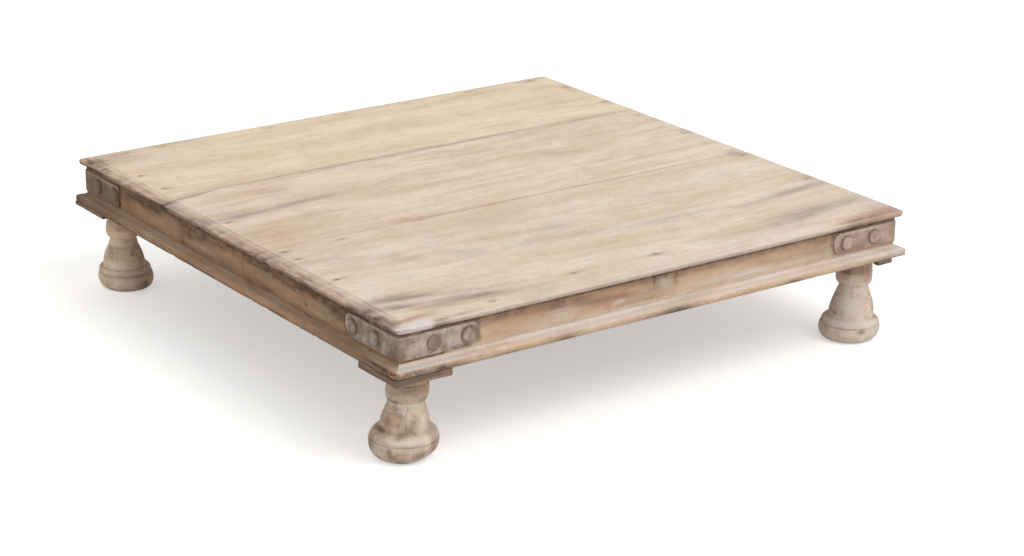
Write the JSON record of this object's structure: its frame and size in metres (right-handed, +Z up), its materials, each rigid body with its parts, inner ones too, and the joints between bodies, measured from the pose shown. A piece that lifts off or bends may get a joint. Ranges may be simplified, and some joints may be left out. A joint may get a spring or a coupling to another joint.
{
  "type": "low side table",
  "caption": "Low square plank-top table in bleached teak on short turned legs, with a moulded lip, a bottom moulding and iron corner straps.",
  "frame": {"origin": "on the floor under the middle of the top, which is the middle of the table's bounding box seen from above", "axes": "+X runs along the front edge to the right, with the grain of the boards; +Y runs from the front to the back; +Z is up"},
  "size_m": [0.76, 0.76, 0.17],
  "materials": {
    "bleached_teak_top": "bleached, dry, faint grain and grey stains",
    "worn_teak_frame": "worn and dry, warm brown with darker pores",
    "worn_teak_moulding": "worn and dry, with a rubbed nose",
    "brown_teak": "darker brown, weathered, with open grain",
    "turned_teak": "turned, worn and cracked along the grain",
    "inner_teak": "sawn, unfinished",
    "strap_iron": "hand-beaten, dull brown patina",
    "domed_nail_iron": "hand-forged heads with dull brown patina",
    "rusted_nail_iron": "dark and rusted"
  },
  "bodies": {
    "root": {"top_board_front": "bleached_teak_top", "top_board_middle": "bleached_teak_top", "top_board_back": "bleached_teak_top", "front_rail": "worn_teak_frame", "back_rail": "worn_teak_frame", "right_rail": "worn_teak_frame", "left_rail": "brown_teak", "left_moulding": "brown_teak", "front_left_pad": "brown_teak", "back_left_pad": "brown_teak", "back_right_pad": "brown_teak", "front_right_pad_remnant": "brown_teak", "front_moulding": "worn_teak_moulding", "back_moulding": "worn_teak_moulding", "right_moulding": "worn_teak_moulding", "front_left_leg": "turned_teak", "front_right_leg": "turned_teak", "back_left_leg": "turned_teak", "back_right_leg": "turned_teak", "front_left_wedge": "inner_teak", "front_right_wedge": "inner_teak", "back_left_wedge": "inner_teak", "back_right_wedge": "inner_teak", "left_batten": "inner_teak", "right_batten": "inner_teak", "front_left_strap": "strap_iron", "front_right_strap": "strap_iron", "back_left_strap": "strap_iron", "back_right_strap": "strap_iron", "front_left_strap_nails": "domed_nail_iron", "front_right_strap_nails": "domed_nail_iron", "back_left_strap_nails": "domed_nail_iron", "back_right_strap_nails": "domed_nail_iron", "board_nails": "rusted_nail_iron", "moulding_nails": "rusted_nail_iron", "batten_nails": "rusted_nail_iron", "pad_nails": "rusted_nail_iron"}
  },
  "joints": []
}
